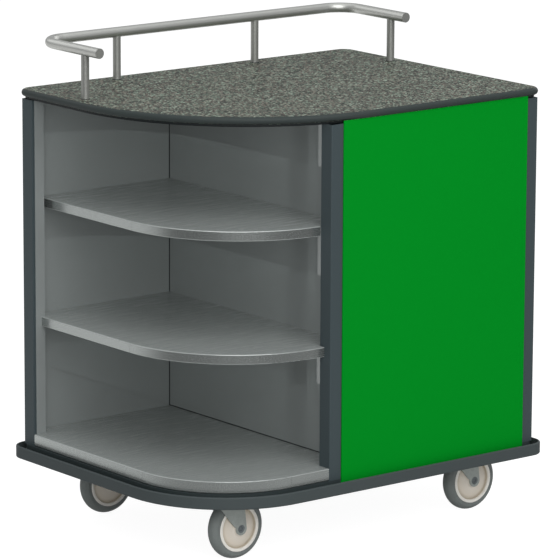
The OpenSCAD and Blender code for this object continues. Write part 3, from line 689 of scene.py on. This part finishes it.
def stage_floor(name):
    half = FLOOR_SIZE / 2
    corners = [(-half, -half, 0), (half, -half, 0), (half, half, 0), (-half, half, 0)]
    mesh = bpy.data.meshes.new(name)
    mesh.from_pydata(corners, [], [(0, 1, 2, 3)])
    mesh.materials.append(floor_material(name))
    floor = bpy.data.objects.new(name, mesh)
    bpy.context.scene.collection.objects.link(floor)
    print("floor metres:", FLOOR_SIZE)


stage_floor("studio_floor")


# %% [markdown]
# Light
#
# Product pictures are lit with broad soft boxes. Five of them, high at the front, low at the
# front left, and at the back, right and top, and an even pale world, leave no hard shadow and no
# burnt highlight. A picture of a studio as the world would give livelier mirror images, but it
# would be an image file, and soft boxes can be moved and dimmed one by one.

# %% Soft boxes and world
MIDDLE = (0, 0, 0.5)
# The place, size and power of each soft box. Each one faces the cart's middle.
SOFT_BOXES = {
    "front_box": ((-1.4, -3.8, 4.2), (5.6, 4.4), 200),
    "fill_box": ((-2.8, -4.4, 1.6), (3.6, 2.4), 46),
    "back_box": ((-1.6, 4.8, 3.9), (3.8, 3.2), 36),
    "right_box": ((4.6, 1.0, 2.6), (3.2, 2.6), 34),
    "top_box": ((0.3, 0.2, 4.8), (5.6, 5.0), 50),
}
WORLD_TINT = [0.97, 0.985, 1.0, 1]
WORLD_STRENGTH = 0.42


def soft_box(name, at, size, power):
    lamp = bpy.data.lights.new(name, "AREA")
    lamp.shape = "RECTANGLE"
    lamp.size, lamp.size_y = size
    lamp.energy = power
    holder = bpy.data.objects.new(name, lamp)
    bpy.context.scene.collection.objects.link(holder)
    aim = Vector(MIDDLE) - Vector(at)
    holder.location = at
    holder.rotation_euler = aim.to_track_quat("-Z", "Y").to_euler()
    print(name, "watts:", power, "metres away:", round(aim.length, 1))


def studio_world(name):
    world = bpy.data.worlds.new(name)
    tree = empty_tree(world)
    path = add(tree, "ShaderNodeLightPath")
    even = add(tree, "ShaderNodeBackground", {"Color": WORLD_TINT, "Strength": WORLD_STRENGTH})
    white = add(tree, "ShaderNodeBackground", {"Color": WHITE, "Strength": 1.0})
    mixed = add(tree, "ShaderNodeMixShader", {
        "Fac": path.outputs["Is Camera Ray"], 1: even.outputs["Background"],
        2: white.outputs["Background"]})
    add(tree, "ShaderNodeOutputWorld", {"Surface": mixed.outputs["Shader"]})
    bpy.context.scene.world = world


studio_world("studio_world")
for name, (at, size, power) in SOFT_BOXES.items():
    soft_box(name, at, size, power)


# %% [markdown]
# Camera
#
# The photograph's camera was worked out from the cart's straight edges. It stands nine metres
# away at the front left with a long lens, which is why the sides hardly converge. The position is
# measured from the front left corner post's foot on the floor, as the edges were. Placing it by
# eye would be quicker, but then no edge of the render would lie on the photograph's.

# %% Set the camera
PICTURE_PX = 560
SENSOR_MM = 36.0
FOCAL_PX = 4250.02
FAR_M = 100
YAW = math.radians(38.4603)
PITCH = math.radians(12.2163)
ROLL = math.radians(0.2748)
FROM_CORNER_MM = Vector((-5260.45, -6865.08, 2521.59))
CORNER_MM = Vector((-457, -334.5, 0))


def set_camera():
    lens = bpy.data.cameras.new("camera")
    lens.sensor_width = SENSOR_MM
    lens.lens = FOCAL_PX / PICTURE_PX * SENSOR_MM
    lens.clip_end = FAR_M
    holder = bpy.data.objects.new("camera", lens)
    bpy.context.scene.collection.objects.link(holder)
    flat = math.cos(PITCH)
    ahead = Vector((math.sin(YAW) * flat, math.cos(YAW) * flat, -math.sin(PITCH)))
    right = Vector((math.cos(YAW), -math.sin(YAW), 0))
    up = right.cross(ahead)
    rolled_right = right * math.cos(ROLL) + up * math.sin(ROLL)
    rolled_up = up * math.cos(ROLL) - right * math.sin(ROLL)
    turn = Matrix((rolled_right, rolled_up, -ahead)).transposed()
    place = Matrix.Translation((FROM_CORNER_MM + CORNER_MM) * MM)
    holder.matrix_world = place @ turn.to_4x4()
    bpy.context.scene.camera = holder
    return holder


camera = set_camera()
print("lens mm:", round(camera.data.lens, 1), "at", [round(v, 2) for v in camera.location])


# %% [markdown]
# Finish
#
# A product picture shows colours as they are, so the view transform is Standard, which leaves them
# as written. A film-like one would be kinder to highlights, but it would grey the white floor.

# %% Finish
bpy.context.scene.view_settings.view_transform = "Standard"
